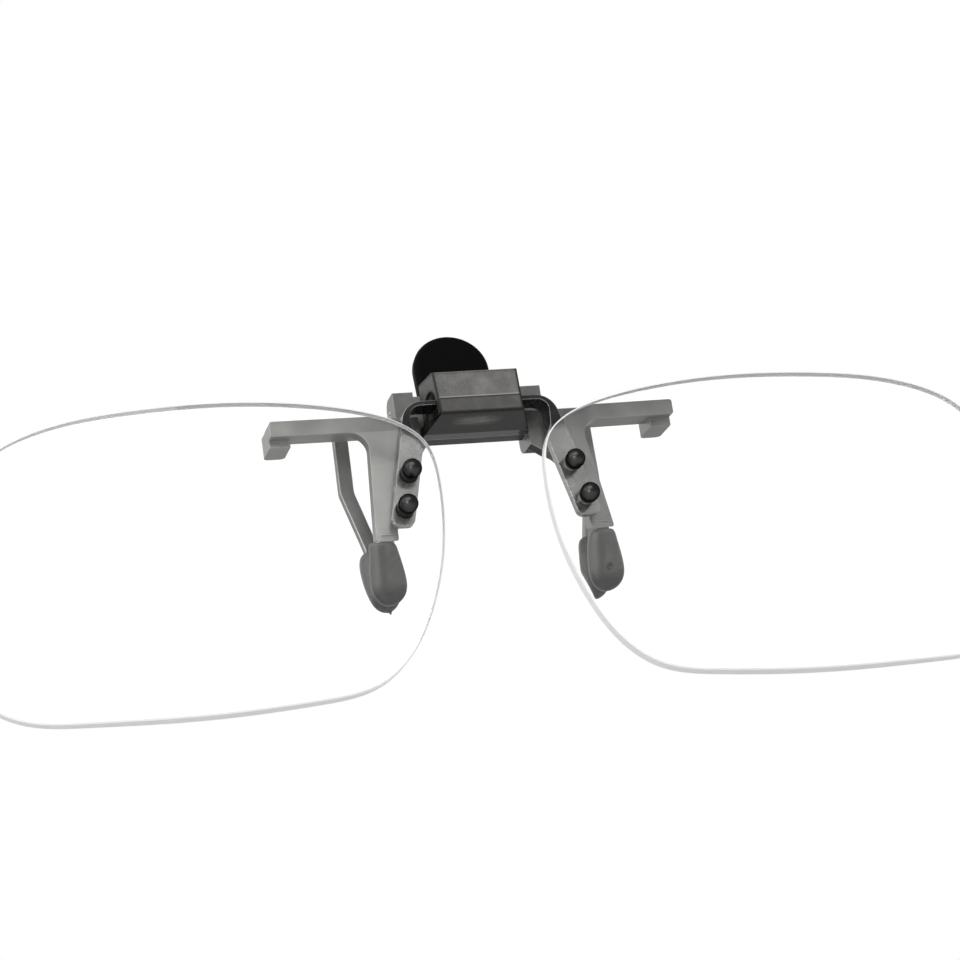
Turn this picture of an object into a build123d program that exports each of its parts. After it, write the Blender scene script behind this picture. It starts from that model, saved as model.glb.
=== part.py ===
from build123d import *
import os
from math import atan2, cos, degrees, hypot, pi, radians, sin, sqrt, tan

# Flip-up clip-on loupe for spectacles, lengths in millimetres and angles in degrees.
# X runs to the right as seen from the front, Y runs back to the wearer's face, Z is up.
# The origin is the middle of the grip, on the plane of the front tips' gripping faces.
# Left is the side of negative X.

# Lenses: flat behind, domed in front
lens_width = 55.5
lens_height = 35.4
lens_nasal_x = 6.1
lens_rear_y = -4.7
# Share of the lens's height that hangs below its upper stud
lens_hang_share = 0.7415
lens_middle_thickness = 2.65
lens_dome_radius = 350.0
lens_rim_bevel = 0.15
# Outline seen from the front: share of the width from the nose, share of the height from the bottom
lens_outline_shares = [
    (0.000, 0.713), (0.014, 0.470), (0.057, 0.275), (0.110, 0.143), (0.173, 0.064),
    (0.297, 0.021), (0.544, 0.000), (0.769, 0.007), (0.883, 0.030), (0.964, 0.112),
    (1.000, 0.374), (0.978, 0.657), (0.915, 0.846), (0.800, 0.942), (0.600, 0.991),
    (0.430, 1.000), (0.250, 0.980), (0.140, 0.948), (0.063, 0.903), (0.021, 0.847),
]

# Ball-headed studs that hold each lens on its bracket leg
stud_upper_x = 9.44
stud_upper_z = 10.55
stud_spacing = 4.22
stud_ball_radius = 1.1
stud_ball_seat = 0.75
stud_shank_radius = 0.45
washer_radius = 1.05
washer_thickness = 0.25
spot_depth = 0.1
grommet_wall = 0.27
retainer_radius = 0.95
retainer_thickness = 0.65
retainer_cap_wall = 0.2
fit_gap = 0.03

# Lens carrier: shaft, arched strip and splayed bracket legs
flip_axis_z = 19.05
shaft_radius = 1.6
shaft_end_inset = 0.2
shaft_flat_depth = 0.2
shaft_flat_half_length = 3.2
strip_root = 0.6
arch_wall = 0.5
arch_depth = 3.1
shoulder_inner_x = 8.2
shoulder_foot_x = 8.0
shoulder_foot_z = 15.7
shoulder_outer_radius = 2.6
shoulder_inner_radius = 1.3
shoulder_foot_radius = 0.6
bracket_splay = 14.0
bracket_width = 2.6
bracket_thickness = 1.0
bracket_gap = 0.05
bracket_toe = 1.9
bracket_toe_radius = 0.8
bracket_top_drop = 5.0
gusset_drop = 2.2
gusset_rise = 2.6
gusset_radius = 1.05

# Flip hinge housing: cradle below, cover above, leaf spring between
running_gap = 0.05
housing_front_half = 4.8
housing_rear_half = 5.5
housing_lip_y = -5.9
housing_waist_y = -5.35
housing_crown_y = -4.8
housing_rear_y = -0.3
housing_split_z = 17.24
housing_waist_z = 19.28
housing_crown_z = 22.6
housing_edge_radius = 0.3
cradle_rear_half = 6.05
cradle_heel_y = -2.05
cradle_saddle_half = 4.4
cradle_saddle_top_z = 18.0
cradle_tab_height = 2.3
cradle_tab_thickness = 1.0
leaf_thickness = 0.25
leaf_half_length = 3.6
leaf_half_width = 0.9
leaf_room = 0.55
leaf_bow = 0.3

# Screws that hold the cradle to the front jaw
screw_x = 3.0
screw_z = 17.3
screw_radius = 0.5
screw_head_radius = 0.9
screw_head_height = 0.5
screw_slot_width = 0.25
screw_slot_depth = 0.2

# Front jaw: plate, hinge ears, side arms with rest ledges, legs
plate_bottom_z = 16.1
plate_top_z = 21.4
plate_wall = 0.85
beam_top_z = 18.2
beam_depth = 2.0
ear_clearance = 0.25
ear_width = 2.4
ear_top_z = 21.95
ear_bottom_z = 14.6
ear_depth = 3.4
ear_corner_radius = 1.3
arm_reach = 23.7
arm_top_z = 18.7
arm_height = 1.8
arm_front_y = -1.1
arm_depth = 3.1
arm_end_radius = 0.3
ledge_width = 2.4
ledge_rear_y = 4.7
ledge_drop = 0.3
ledge_height = 2.35
leg_outer_top_x = 12.6
leg_outer_foot_x = 13.9
leg_inner_foot_x = 11.3
leg_inner_knee_x = 10.85
leg_foot_gap = 0.15
leg_foot_y = -3.15
leg_thickness = 1.8
leg_root_radius = 2.0
leg_knee_radius = 2.5
arch_knee_z = 9.9
arch_crook_x = 9.0
arch_crook_z = 12.6
arch_crook_radius = 2.5
leg_peg_width = 1.5
leg_peg_thickness = 1.0
leg_peg_length = 3.2
leg_peg_root = 0.9

# Jaw hinge: pin, torsion spring and rear jaw
jaw_axis_y = 2.0
jaw_axis_z = 19.9
jaw_pin_radius = 0.6
knuckle_radius = 1.25
knuckle_inner_x = 3.4
knuckle_side_gap = 0.1
spring_wire_radius = 0.2
spring_wire_sides = 10
spring_coil_radius = 0.98
spring_turns = 3
spring_pitch = 0.95
spring_leg_length = 1.6
spring_lever_leg_length = 1.9
lever_lean = 11.0
lever_offset = 1.75
lever_thickness = 0.9
lever_width = 6.0
lever_top_z = 28.6
bar_top_z = 19.9
bar_height = 1.8
bar_thickness = 1.2
bar_y = 4.7
rear_leg_width = 1.6
rear_leg_top_x = 14.7
rear_leg_knee_x = 14.85
rear_leg_knee_z = 11.5
rear_leg_bend_radius = 3.0
rear_leg_foot_gap = 0.3
rear_peg_length = 3.0

# Thumb pad on the lever
pad_width = 8.9
pad_thickness = 1.9
pad_crown_z = 26.05
pad_bottom_z = 22.0
pad_rim_radius = 0.6

# Soft tips on the four legs: the front pair leans with the grip plane, the rear pair meets it at the toes
tip_top_width = 2.6
tip_bottom_width = 4.4
tip_thickness = 2.4
tip_meeting_gap = 0.1
tip_toe_radius = 2.05
tip_shoulder_radius = 0.8
tip_soft_radius = 0.75
tip_grip_bevel = 0.2
front_tip_x = 12.55
front_tip_length = 6.85
front_tip_rise = 0.575
front_tip_lean = 17.5
rear_tip_x = 12.7
rear_tip_length = 7.1
rear_tip_z = 0.65
rear_tip_lean = 9.3
rear_tip_splay = 7.8
tip_dimple_radius = 0.4
tip_dimple_depth = 0.3
tip_dimple_offset = 0.4
tip_dimple_drop = 0.85
tip_nib_radius = 0.32
tip_nib_height = 0.45
tip_nib_offset = 0.45

# How far cutting tools run past what they cut
overrun = 1.0

sides = [("left", -1), ("right", 1)]
lens_bottom_z = stud_upper_z - lens_hang_share * lens_height
bracket_front_y = lens_rear_y + bracket_gap
bracket_rear_y = bracket_front_y + bracket_thickness
flip_axis_y = bracket_front_y + arch_depth / 2
stud_slope = tan(radians(bracket_splay))
shaft_half_length = housing_front_half - shaft_end_inset
ear_inner_x = cradle_rear_half + ear_clearance
ear_outer_x = ear_inner_x + ear_width
grommet_radius = stud_shank_radius + fit_gap + grommet_wall
bore_radius = shaft_radius + running_gap
plate_front_y = housing_rear_y
arm_bottom_z = arm_top_z - arm_height
knuckle_outer_x = ear_inner_x - knuckle_side_gap
front_tip_top = front_tip_rise + front_tip_length / 2
front_tip_middle_y = -(tip_meeting_gap + tip_thickness) / 2
front_lean = radians(front_tip_lean)
leg_foot_z = leg_foot_y * tan(front_lean) + front_tip_top / cos(front_lean) + leg_foot_gap
parts = {}


def outline(corners):
    # Flat outline from (across, up, corner radius) corners
    face = make_face(Polyline(*[(across, up) for across, up, radius in corners], close=True))
    for across, up, radius in corners:
        if radius:
            face = fillet(face.vertices().sort_by_distance((across, up))[0], radius)
    return face


def seen_from_front(face, front_y, rear_y):
    # Slab with a front-view outline (X, Z)
    return extrude(Plane.XZ.offset(-rear_y) * face, amount=rear_y - front_y, dir=(0, -1, 0))


def seen_from_side(face, from_x, to_x):
    # Slab with a side-view outline (Y, Z)
    return extrude(Plane.YZ.offset(from_x) * face, amount=to_x - from_x, dir=(1, 0, 0))


def seen_from_above(face, bottom_z, top_z):
    # Slab with a plan-view outline (X, Y)
    return extrude(Pos(0, 0, bottom_z) * face, amount=top_z - bottom_z, dir=(0, 0, 1))


def block(from_x, to_x, from_y, to_y, from_z, to_z):
    middle = Pos((from_x + to_x) / 2, (from_y + to_y) / 2, (from_z + to_z) / 2)
    return middle * Box(abs(to_x - from_x), abs(to_y - from_y), abs(to_z - from_z))


def rod_back(x, z, radius, front_y, rear_y):
    # Round bar along Y
    return Pos(x, (front_y + rear_y) / 2, z) * Rot(90, 0, 0) * Cylinder(radius, rear_y - front_y)


def rod_across(y, z, radius, from_x, to_x):
    # Round bar along X
    return Pos((from_x + to_x) / 2, y, z) * Rot(0, 90, 0) * Cylinder(radius, abs(to_x - from_x))


def mirrored(shape, side):
    # The shapes are drawn for the right side
    return shape if side > 0 else mirror(shape, about=Plane.YZ)


def keep(name, shape):
    solids = shape.solids()
    parts[name] = solids[0] if len(solids) == 1 else Compound(children=list(solids))
    parts[name].label = name


def stud_places():
    # Upper and lower stud of one side, down the splayed bracket leg
    reach = stud_spacing * sin(radians(bracket_splay))
    drop = stud_spacing * cos(radians(bracket_splay))
    return [("upper", stud_upper_x, stud_upper_z), ("lower", stud_upper_x + reach, stud_upper_z - drop)]


def lens_front_y(x, z):
    # The domed front face's place over a point of the lens
    middle_x = lens_nasal_x + lens_width / 2
    middle_z = lens_bottom_z + lens_height / 2
    away = hypot(x - middle_x, z - middle_z)
    sag = lens_dome_radius - sqrt(lens_dome_radius ** 2 - away ** 2)
    return lens_rear_y - lens_middle_thickness + sag


def stud_seat_y(x, z):
    # The spot-faced seat of a stud's washer
    return lens_front_y(x, z) + spot_depth


def make_lens():
    points = [
        (lens_nasal_x + across * lens_width, lens_bottom_z + up * lens_height)
        for across, up in lens_outline_shares
    ]
    rim = make_face(Spline(*points, periodic=True))
    slab = seen_from_front(rim, lens_rear_y - lens_middle_thickness - overrun, lens_rear_y)
    dome_y = lens_rear_y - lens_middle_thickness + lens_dome_radius
    middle_z = lens_bottom_z + lens_height / 2
    dome = Pos(lens_nasal_x + lens_width / 2, dome_y, middle_z) * Sphere(lens_dome_radius)
    lens = slab & dome
    lens = chamfer(lens.edges(), lens_rim_bevel)
    for height, x, z in stud_places():
        lens -= rod_back(x, z, grommet_radius + fit_gap, lens_rear_y - overrun * 4, lens_rear_y + overrun)
        seat_y = stud_seat_y(x, z)
        lens -= rod_back(x, z, washer_radius + fit_gap, seat_y - overrun, seat_y)
    return lens


def make_stud(x, z):
    # Ball head, turned flat where it sits on its washer, and its shank
    washer_front_y = stud_seat_y(x, z) - washer_thickness
    ball_y = washer_front_y - stud_ball_seat
    ball = Pos(x, ball_y, z) * Sphere(stud_ball_radius)
    ball -= rod_back(x, z, stud_ball_radius + overrun, washer_front_y, washer_front_y + stud_ball_radius)
    shank_end_y = bracket_rear_y + retainer_thickness - retainer_cap_wall - fit_gap
    return ball + rod_back(x, z, stud_shank_radius, ball_y, shank_end_y)


def ring_back(x, z, radius, hole_radius, front_y, rear_y):
    ring = rod_back(x, z, radius, front_y, rear_y)
    return ring - rod_back(x, z, hole_radius, front_y - overrun, rear_y + overrun)


def make_retainer(x, z):
    cap = rod_back(x, z, retainer_radius, bracket_rear_y, bracket_rear_y + retainer_thickness)
    rim = cap.edges().sort_by(Axis.Y)[-1]
    cap = chamfer(rim, retainer_cap_wall)
    hole_end_y = bracket_rear_y + retainer_thickness - retainer_cap_wall
    return cap - rod_back(x, z, stud_shank_radius + fit_gap, bracket_rear_y - overrun, hole_end_y)


def bracket_middle_x(z):
    return stud_upper_x + (stud_upper_z - z) * stud_slope


def make_carrier_side():
    # One shoulder and bracket leg: front view crossed with side view
    half = bracket_width / 2 / cos(radians(bracket_splay))
    toe_z = stud_places()[1][2] - bracket_toe
    arch_top_z = flip_axis_z + arch_wall / 2
    bracket_top_z = flip_axis_z - bracket_top_drop
    start_x = shaft_half_length - strip_root
    front = outline([
        (start_x, arch_top_z - arch_wall, 0),
        (shoulder_inner_x, arch_top_z - arch_wall, shoulder_inner_radius),
        (shoulder_foot_x, shoulder_foot_z, shoulder_foot_radius),
        (bracket_middle_x(bracket_top_z) - half, bracket_top_z, shoulder_foot_radius),
        (bracket_middle_x(toe_z) - half, toe_z, bracket_toe_radius),
        (bracket_middle_x(toe_z) + half, toe_z, bracket_toe_radius),
        (bracket_middle_x(arch_top_z) + half, arch_top_z, shoulder_outer_radius),
        (start_x, arch_top_z, 0),
    ])
    arch_rear_y = bracket_front_y + arch_depth
    gusset_top_z = flip_axis_z - gusset_drop
    side = outline([
        (bracket_front_y, toe_z - overrun, 0),
        (bracket_rear_y, toe_z - overrun, 0),
        (bracket_rear_y, gusset_top_z - gusset_rise, gusset_radius),
        (arch_rear_y, gusset_top_z, gusset_radius),
        (arch_rear_y, arch_top_z + overrun, 0),
        (bracket_front_y, arch_top_z + overrun, 0),
    ])
    slab = seen_from_front(front, bracket_front_y, arch_rear_y)
    leg = slab & seen_from_side(side, 0, bracket_middle_x(toe_z) + bracket_width)
    for height, x, z in stud_places():
        leg -= rod_back(x, z, stud_shank_radius + fit_gap, bracket_front_y - overrun, bracket_rear_y + overrun)
    return leg


def make_carrier():
    # The shaft has a flat on top for the lowered lenses and one in front for the raised lenses
    leg = make_carrier_side()
    shaft = rod_across(flip_axis_y, flip_axis_z, shaft_radius, -shaft_half_length, shaft_half_length)
    flat = shaft_radius - shaft_flat_depth
    reach = shaft_radius + overrun
    shaft -= block(-shaft_flat_half_length, shaft_flat_half_length, flip_axis_y - reach, flip_axis_y + reach,
                   flip_axis_z + flat, flip_axis_z + reach)
    shaft -= block(-shaft_flat_half_length, shaft_flat_half_length, flip_axis_y - reach, flip_axis_y - flat,
                   flip_axis_z - reach, flip_axis_z + reach)
    return shaft + leg + mirrored(leg, -1)


def housing_plan(rear_half, heel_y):
    # Plan of the housing: its ends spread towards the rear
    return make_face(Polyline(
        (-housing_front_half, housing_lip_y), (housing_front_half, housing_lip_y),
        (rear_half, heel_y), (rear_half, housing_rear_y),
        (-rear_half, housing_rear_y), (-rear_half, heel_y), close=True))


def shaft_channel():
    # Room for the shaft: a round bore, open downwards
    bore = rod_across(flip_axis_y, flip_axis_z, bore_radius, -cradle_rear_half - overrun, cradle_rear_half + overrun)
    slot = block(-cradle_rear_half - overrun, cradle_rear_half + overrun, flip_axis_y - bore_radius,
                 flip_axis_y + bore_radius, housing_split_z - overrun, flip_axis_z)
    return bore + slot


def cradle_tab(gap):
    # Upstand at the cradle's rear that the screws bite into
    return block(-cradle_saddle_half - gap, cradle_saddle_half + gap,
                 housing_rear_y - cradle_tab_thickness - gap, housing_rear_y,
                 housing_split_z, housing_split_z + cradle_tab_height + gap)


def leaf_pocket():
    bottom_z = flip_axis_z + shaft_radius - shaft_flat_depth
    return block(-leaf_half_length - running_gap, leaf_half_length + running_gap,
                 flip_axis_y - leaf_half_width - running_gap, flip_axis_y + leaf_half_width + running_gap,
                 flip_axis_z, bottom_z + leaf_thickness + leaf_room)


def make_cover():
    side = outline([
        (housing_lip_y, housing_split_z, 0),
        (housing_waist_y, housing_waist_z, housing_edge_radius),
        (housing_crown_y, housing_crown_z, housing_edge_radius),
        (housing_rear_y, housing_crown_z, housing_edge_radius),
        (housing_rear_y, housing_split_z, 0),
    ])
    cover = seen_from_side(side, -cradle_rear_half, cradle_rear_half)
    plan = housing_plan(housing_rear_half, housing_rear_y - housing_edge_radius)
    cover &= seen_from_above(plan, housing_split_z - overrun, housing_crown_z + overrun)
    return cover - shaft_channel() - cradle_tab(fit_gap) - leaf_pocket()


def make_cradle():
    side = outline([
        (housing_lip_y, housing_split_z, 0),
        (cradle_heel_y, plate_bottom_z, housing_edge_radius),
        (housing_rear_y, plate_bottom_z, 0),
        (housing_rear_y, housing_split_z, 0),
    ])
    cradle = seen_from_side(side, -cradle_rear_half, cradle_rear_half)
    plan = housing_plan(cradle_rear_half, cradle_heel_y)
    cradle &= seen_from_above(plan, plate_bottom_z - overrun, housing_split_z + overrun)
    saddle_half = bore_radius - fit_gap
    cradle += block(-cradle_saddle_half, cradle_saddle_half, flip_axis_y - saddle_half,
                    flip_axis_y + saddle_half, housing_split_z, cradle_saddle_top_z)
    cradle += cradle_tab(0)
    cradle -= rod_across(flip_axis_y, flip_axis_z, bore_radius, -cradle_rear_half, cradle_rear_half)
    for name, side in sides:
        cradle -= rod_back(side * screw_x, screw_z, screw_radius,
                           housing_rear_y - cradle_tab_thickness - overrun, housing_rear_y + overrun)
    return cradle


def make_leaf():
    # Bowed leaf that rides on the shaft's flat
    low_z = flip_axis_z + shaft_radius - shaft_flat_depth + fit_gap
    lower = ThreePointArc((-leaf_half_length, low_z + leaf_bow), (0, low_z), (leaf_half_length, low_z + leaf_bow))
    high_z = low_z + leaf_thickness
    upper = ThreePointArc((leaf_half_length, high_z + leaf_bow), (0, high_z), (-leaf_half_length, high_z + leaf_bow))
    ends = [Line(lower @ 1, upper @ 0), Line(upper @ 1, lower @ 0)]
    face = make_face([lower, ends[0], upper, ends[1]])
    return seen_from_front(face, flip_axis_y - leaf_half_width, flip_axis_y + leaf_half_width)


def make_screws():
    head_front_y = plate_front_y + beam_depth
    screws = []
    for name, side in sides:
        x = side * screw_x
        shank = rod_back(x, screw_z, screw_radius, housing_rear_y - cradle_tab_thickness, head_front_y)
        head = rod_back(x, screw_z, screw_head_radius, head_front_y, head_front_y + screw_head_height)
        slot = block(x - screw_head_radius, x + screw_head_radius,
                     head_front_y + screw_head_height - screw_slot_depth, head_front_y + screw_head_height + overrun,
                     screw_z - screw_slot_width / 2, screw_z + screw_slot_width / 2)
        screws.append(shank + head - slot)
    return screws[0] + screws[1]


def front_tip_place(side):
    # Frame of a front tip: its gripping face lies on the grip plane, which leans through the origin
    lean = Pos(side * front_tip_x, 0, 0) * Rot(front_tip_lean, 0, 0)
    return lean * Pos(0, front_tip_middle_y, front_tip_rise)


def rear_tip_place(side):
    # Frame of a rear tip: its toe's front edge stands just behind the grip plane
    lean = radians(rear_tip_lean)
    toe_ahead = tip_thickness / 2 * cos(lean) + rear_tip_length / 2 * sin(lean)
    toe_z = rear_tip_z + tip_thickness / 2 * sin(lean) - rear_tip_length / 2 * cos(lean)
    toe_y = tip_meeting_gap / 2 / cos(front_lean) - toe_z * tan(front_lean)
    turned = Rot(0, side * rear_tip_splay, 0) * Rot(-rear_tip_lean, 0, 0)
    return Pos(side * rear_tip_x, toe_y + toe_ahead, rear_tip_z) * turned


def front_leg_face_y(z):
    # The front leg's front face leans forward towards the foot
    share = (z - leg_foot_z) / (arm_bottom_z - leg_foot_z)
    return leg_foot_y + share * (arm_front_y - leg_foot_y)


def make_front_jaw_side():
    # One arm with its ledge and leg: front view crossed with side view
    arm_rear_y = arm_front_y + arm_depth
    front = outline([
        (ear_inner_x, arm_top_z, 0),
        (arm_reach, arm_top_z, arm_end_radius),
        (arm_reach, arm_bottom_z, arm_end_radius),
        (leg_outer_top_x, arm_bottom_z, leg_root_radius),
        (leg_outer_foot_x, leg_foot_z, arm_end_radius),
        (leg_inner_foot_x, leg_foot_z, arm_end_radius),
        (leg_inner_knee_x, arch_knee_z, leg_knee_radius),
        (arch_crook_x, arch_crook_z, arch_crook_radius),
        (ear_inner_x, ear_bottom_z, 0),
    ])
    side = outline([
        (arm_front_y, arm_top_z + overrun, 0),
        (arm_front_y, arm_bottom_z, 0),
        (leg_foot_y, leg_foot_z, 0),
        (leg_foot_y + leg_thickness, leg_foot_z + leg_thickness * tan(front_lean), 0),
        (front_leg_face_y(arm_bottom_z) + leg_thickness, arm_bottom_z, 0),
        (arm_rear_y, arm_bottom_z, 0),
        (arm_rear_y, arm_top_z + overrun, 0),
    ])
    frame = seen_from_front(front, leg_foot_y, arm_rear_y) & seen_from_side(side, 0, arm_reach + overrun)
    ledge_top_z = arm_top_z - ledge_drop
    ledge = block(arm_reach - ledge_width, arm_reach, arm_rear_y - arm_depth / 2, ledge_rear_y,
                  ledge_top_z - ledge_height, ledge_top_z)
    ledge = fillet(ledge.edges().filter_by(Axis.Z).group_by(Axis.Y)[-1], ledge_width / 4)
    ear = seen_from_side(outline([
        (plate_front_y, ear_bottom_z, 0),
        (plate_front_y + ear_depth, ear_bottom_z, ear_corner_radius),
        (plate_front_y + ear_depth, ear_top_z, ear_corner_radius),
        (plate_front_y, ear_top_z, 0),
    ]), ear_inner_x, ear_outer_x)
    peg = Pos(0, 0, (front_tip_length + leg_peg_root - leg_peg_length) / 2) * Box(
        leg_peg_width, leg_peg_thickness, leg_peg_length + leg_peg_root)
    return frame + ledge + ear + front_tip_place(1) * peg


def make_front_jaw():
    half = make_front_jaw_side()
    plate_half = (ear_inner_x + ear_outer_x) / 2
    wall = block(-plate_half, plate_half, plate_front_y, plate_front_y + plate_wall, plate_bottom_z, plate_top_z)
    beam = block(-plate_half, plate_half, plate_front_y, plate_front_y + beam_depth, plate_bottom_z, beam_top_z)
    jaw = half + mirrored(half, -1) + wall + beam
    jaw -= rod_across(jaw_axis_y, jaw_axis_z, jaw_pin_radius, -ear_outer_x - overrun, ear_outer_x + overrun)
    for name, side in sides:
        jaw -= rod_back(side * screw_x, screw_z, screw_radius + fit_gap,
                        plate_front_y - overrun, plate_front_y + beam_depth + overrun)
    return jaw


def lever_y(z):
    # Middle of the leaning thumb lever
    lean = radians(lever_lean)
    return jaw_axis_y + lever_offset / cos(lean) + (z - jaw_axis_z) * tan(lean)


def lever_slab(width, thickness, bottom_z, top_z):
    # Slab that leans with the lever
    lean = radians(lever_lean)
    length = (top_z - bottom_z) / cos(lean)
    middle_z = (bottom_z + top_z) / 2
    return Pos(0, lever_y(middle_z), middle_z) * Rot(-lever_lean, 0, 0) * Box(width, thickness, length)


def make_rear_leg():
    # Bowed leg and its peg: front view crossed with side view
    half = rear_leg_width / 2
    thick = bar_thickness / 2
    tip_top = rear_tip_length / 2
    neck = (rear_tip_place(1) * Pos(0, 0, tip_top + rear_leg_foot_gap)).position
    end = (rear_tip_place(1) * Pos(0, 0, tip_top - rear_peg_length)).position
    front = outline([
        (rear_leg_top_x - half, bar_top_z, 0),
        (rear_leg_top_x + half, bar_top_z, 0),
        (rear_leg_knee_x + half, rear_leg_knee_z, rear_leg_bend_radius),
        (neck.X + half, neck.Z, 0),
        (end.X + half, end.Z, 0),
        (end.X - half, end.Z, 0),
        (neck.X - half, neck.Z, 0),
        (rear_leg_knee_x - half, rear_leg_knee_z, rear_leg_bend_radius),
    ])
    side = outline([
        (bar_y + thick, bar_top_z, 0),
        (bar_y + thick, rear_leg_knee_z, rear_leg_bend_radius),
        (neck.Y + thick, neck.Z, 0),
        (end.Y + thick, end.Z, 0),
        (end.Y - thick, end.Z, 0),
        (neck.Y - thick, neck.Z, 0),
        (bar_y - thick, rear_leg_knee_z, rear_leg_bend_radius),
        (bar_y - thick, bar_top_z, 0),
    ])
    slab = seen_from_front(front, end.Y - overrun, bar_y + overrun)
    return slab & seen_from_side(side, end.X - half - overrun, rear_leg_knee_x + half + overrun)


def make_rear_jaw():
    bar_bottom_z = bar_top_z - bar_height
    reach = rear_leg_top_x + rear_leg_width / 2
    jaw = block(-reach, reach, bar_y - bar_thickness / 2, bar_y + bar_thickness / 2, bar_bottom_z, bar_top_z)
    spine_front_y = lever_y(jaw_axis_z) - lever_thickness / 2
    jaw += block(-knuckle_outer_x, knuckle_outer_x, spine_front_y, bar_y, bar_bottom_z, bar_top_z)
    for name, side in sides:
        jaw += rod_across(jaw_axis_y, jaw_axis_z, knuckle_radius, side * knuckle_inner_x, side * knuckle_outer_x)
        jaw += block(side * knuckle_inner_x, side * knuckle_outer_x, jaw_axis_y, bar_y,
                     jaw_axis_z - knuckle_radius, bar_top_z)
        jaw += mirrored(make_rear_leg(), side)
    jaw += lever_slab(lever_width, lever_thickness, jaw_axis_z, lever_top_z)
    bore = jaw_pin_radius + running_gap
    return jaw - rod_across(jaw_axis_y, jaw_axis_z, bore, -knuckle_outer_x - overrun, knuckle_outer_x + overrun)


def make_thumb_pad():
    # Round-topped pad that slips over the lever
    half = pad_width / 2
    rise = (pad_crown_z - pad_bottom_z) / cos(radians(lever_lean))
    crown = Circle(half)
    foot = Pos(0, -rise / 2) * Rectangle(pad_width, rise)
    face = crown + foot
    body = extrude(Plane.XZ * face, amount=pad_thickness / 2, both=True)
    body = fillet(body.edges().filter_by(lambda e: abs(e.center().Y) > pad_thickness / 4), pad_rim_radius)
    body = Pos(0, lever_y(pad_crown_z), pad_crown_z) * Rot(-lever_lean, 0, 0) * body
    slot = lever_slab(lever_width + fit_gap * 2, lever_thickness + fit_gap * 2,
                      pad_bottom_z - pad_width, lever_top_z + fit_gap)
    return body - slot


def tip_outline(length):
    # Front view about the middle: narrow shoulder, convex sides, round toe
    top = length / 2
    half_top = tip_top_width / 2
    half_toe = tip_bottom_width / 2
    toe = (half_toe - tip_toe_radius, -top)
    belly = (half_toe, tip_toe_radius - top)
    flank = TangentArc(belly, (half_top, top), tangent=(0, 1))
    heel = TangentArc(belly, toe, tangent=(0, -1))
    sole = Line(toe, (-toe[0], toe[1]))
    crown = Line((half_top, top), (-half_top, top))
    face = make_face([
        crown, flank, heel, sole, mirror(heel, about=Plane.YZ), mirror(flank, about=Plane.YZ)])
    return fillet(face.vertices().group_by(Axis.Y)[-1], tip_shoulder_radius)


def make_tip(length, grip_side):
    # Soft sleeve with a flat gripping face, in front (-1) or behind (1)
    half = tip_thickness / 2
    tip = seen_from_front(tip_outline(length), -half, half)
    ends = tip.edges().filter_by(lambda e: abs(abs(e.center().Y) - half) < fit_gap)
    far = ends.filter_by(lambda e: e.center().Y * grip_side < 0)
    tip = fillet(far, tip_soft_radius)
    near = tip.edges().filter_by(lambda e: abs(e.center().Y - half * grip_side) < fit_gap)
    return chamfer(near, tip_grip_bevel)


def make_front_tip(side):
    tip = make_tip(front_tip_length, 1)
    tip -= Pos(0, 0, front_tip_length / 2) * Box(
        leg_peg_width + fit_gap * 2, leg_peg_thickness + fit_gap * 2, (leg_peg_length + fit_gap) * 2)
    if side > 0:
        face_y = -tip_thickness / 2
        tip -= rod_back(tip_dimple_offset, -tip_dimple_drop, tip_dimple_radius,
                        face_y - overrun, face_y + tip_dimple_depth)
    return front_tip_place(side) * tip


def make_rear_tip(side, rear_jaw):
    # The nib is what the mould's gate left on the toe
    tip = make_tip(rear_tip_length, -1)
    tip += Pos(0, -tip_nib_offset, -rear_tip_length / 2) * Cone(
        tip_nib_radius / 2, tip_nib_radius, tip_nib_height * 2)
    return rear_tip_place(side) * tip - rear_jaw


def spring_point(turn, radius):
    # Point of the coil's centre line at a turn angle in radians
    along = (turn / (2 * pi) - spring_turns / 2) * spring_pitch
    return Vector(along, jaw_axis_y + radius * cos(turn), jaw_axis_z + radius * sin(turn))


def spring_heading(turn):
    rise = spring_pitch / (2 * pi)
    return Vector(rise, -spring_coil_radius * sin(turn), spring_coil_radius * cos(turn)).normalized()


def biarc(start, start_heading, end, end_heading):
    # Two arcs that leave and arrive with the given headings and meet smoothly
    gap = end - start
    both = start_heading + end_heading
    a = both.dot(both) - 4
    b = -2 * gap.dot(both)
    c = gap.dot(gap)
    reach = (-b - sqrt(b * b - 4 * a * c)) / (2 * a)
    first = start + start_heading * reach
    second = end - end_heading * reach
    joint = (first + second) * 0.5
    heading = (second - first).normalized()
    return [TangentArc(start, joint, tangent=start_heading), TangentArc(joint, end, tangent=heading)]


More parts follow.
